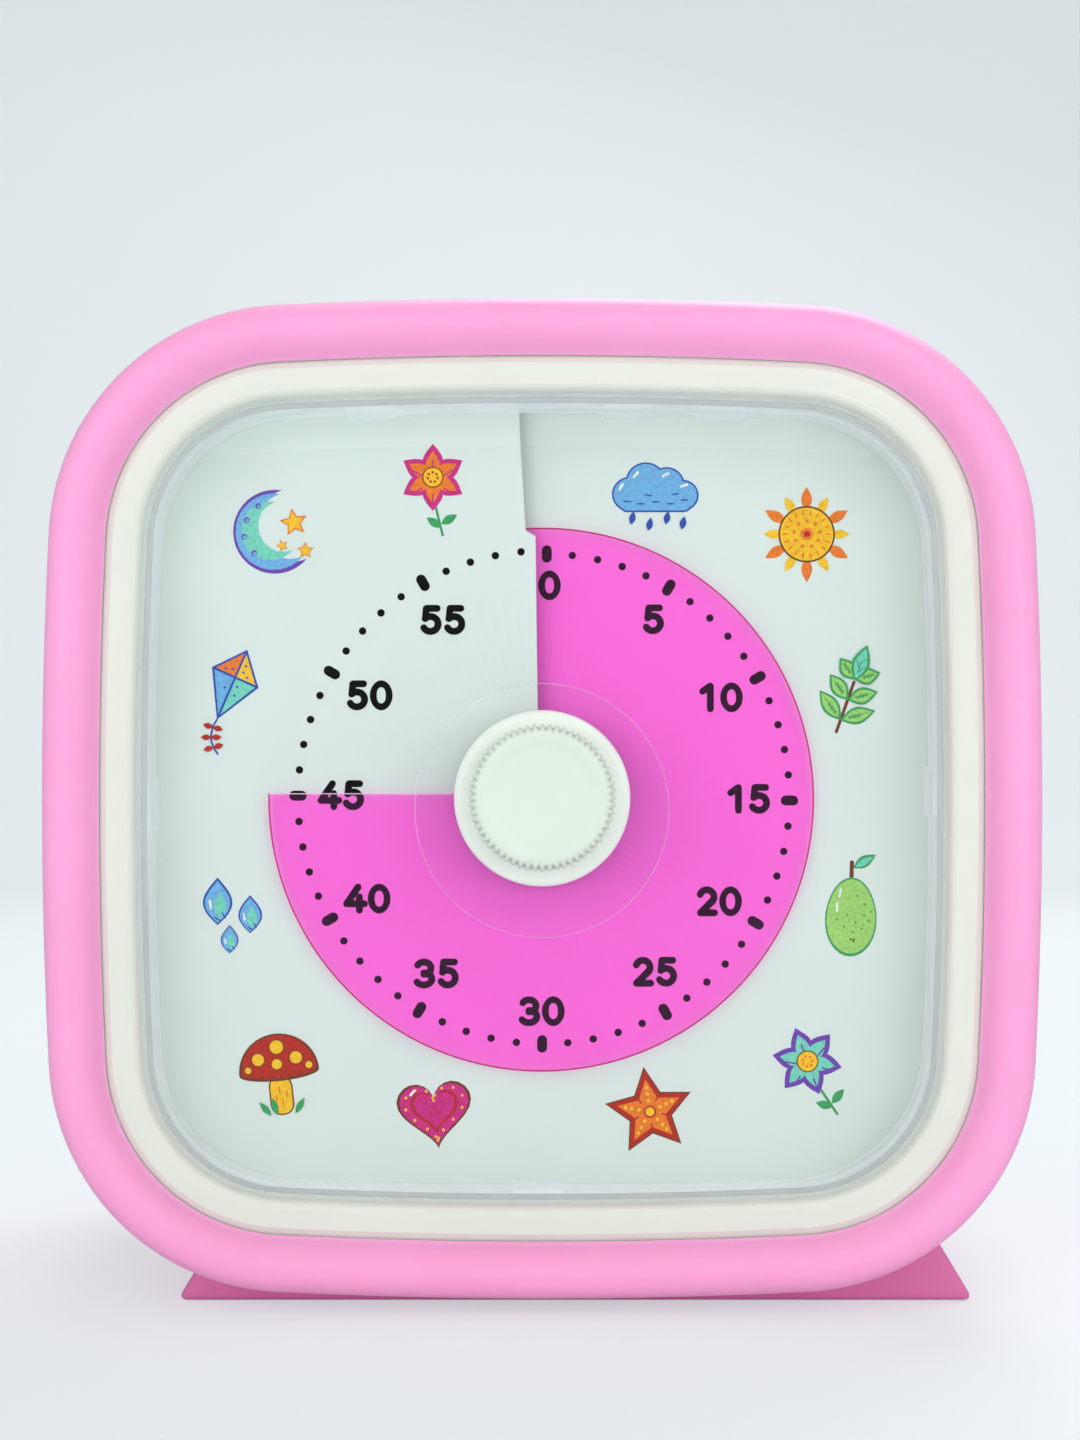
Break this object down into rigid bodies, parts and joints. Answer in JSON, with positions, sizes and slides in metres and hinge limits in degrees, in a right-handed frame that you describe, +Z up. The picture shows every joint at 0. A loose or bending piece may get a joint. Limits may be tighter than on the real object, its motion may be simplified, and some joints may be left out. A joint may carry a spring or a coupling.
{
  "type": "visual countdown timer",
  "caption": "Square visual countdown timer in a soft sleeve: clear front, dial card with a slit, tinted film disc that shows the minutes left, centre knob, rear door for one cell.",
  "frame": {"origin": "on the table, under the middle of the object's bounding box", "axes": "+Z up, +X to the right of someone who looks at the dial, +Y away from them, along the knob's axis"},
  "size_m": [0.095, 0.0532, 0.0963],
  "materials": {
    "silicone_pink": "soft matt silicone",
    "ivory_plastic": "satin moulded",
    "clear_plastic": "clear polished",
    "clear_film": "clear film",
    "printed_card": "matt coated card",
    "pink_film": "translucent tinted film",
    "white_plastic": "moulded",
    "knob_plastic": "satin moulded",
    "steel": "turned",
    "grey_plastic": "moulded",
    "brass": "stamped",
    "gold_leaf": "plated",
    "board_green": "lacquered",
    "black_plastic": "moulded",
    "cell_jacket": "painted jacket",
    "red_lead": "insulated",
    "blue_lead": "insulated"
  },
  "bodies": {
    "case": {"sleeve": "silicone_pink", "front_housing": "ivory_plastic", "rear_housing": "ivory_plastic", "clear_lens": "clear_plastic", "clear_washer": "clear_film", "dial_card": "printed_card", "movement_base": "grey_plastic", "movement_cover": "grey_plastic", "motor_can": "steel", "contact_leaves": "gold_leaf", "circuit_board": "board_green", "board_parts": "black_plastic", "switch_body": "black_plastic", "buzzer": "black_plastic", "cell": "cell_jacket", "cell_spring": "steel", "cell_contact": "steel", "housing_screws": "steel", "movement_screws": "steel", "board_screws": "steel", "cell_leads": "red_lead", "buzzer_leads": "blue_lead"},
    "dial": {"knob": "knob_plastic", "arbor": "steel", "film_hub": "white_plastic", "hub_cap": "white_plastic", "zero_cam": "white_plastic", "clutch_spring": "steel", "centre_wheel": "brass"},
    "film": {"film_disc": "pink_film"},
    "idler": {"idler_wheel": "white_plastic"},
    "motor_rotor": {"motor_pinion": "white_plastic"},
    "door": {"battery_door": "ivory_plastic"},
    "alarm_switch": {"switch_slider": "knob_plastic"}
  },
  "joints": [
    {"name": "dial_turn", "type": "hinge", "parent": "case", "child": "dial", "pos_m": [0, 0, 0.0488], "axis": [0, 1, 0], "range_deg": [-270, 90]},
    {"name": "film_climb", "type": "slide", "parent": "dial", "child": "film", "axis": [0, -1, 0], "range_m": [-0.0016, 0.0006]},
    {"name": "idler_turn", "type": "hinge", "parent": "case", "child": "idler", "pos_m": [0.00703, 0, 0.0566], "axis": [0, 1, 0], "range_deg": [-545, 1625]},
    {"name": "motor_turn", "type": "hinge", "parent": "case", "child": "motor_rotor", "pos_m": [0.00572, 0, 0.06399], "axis": [0, 1, 0], "range_deg": [-6490, 2170]},
    {"name": "door_tilt", "type": "hinge", "parent": "case", "child": "door", "pos_m": [0, 0.02403, 0.016], "axis": [-1, 0, 0], "range_deg": [0, 30]},
    {"name": "switch_slide", "type": "slide", "parent": "case", "child": "alarm_switch", "axis": [1, 0, 0], "range_m": [-0.002, 0.002]}
  ],
  "couplings": [
    {"joint": "film_climb", "follows": "dial_turn", "m_per_rad": 0.00031831},
    {"joint": "idler_turn", "follows": "dial_turn", "ratio": -6},
    {"joint": "motor_turn", "follows": "dial_turn", "ratio": 24}
  ]
}
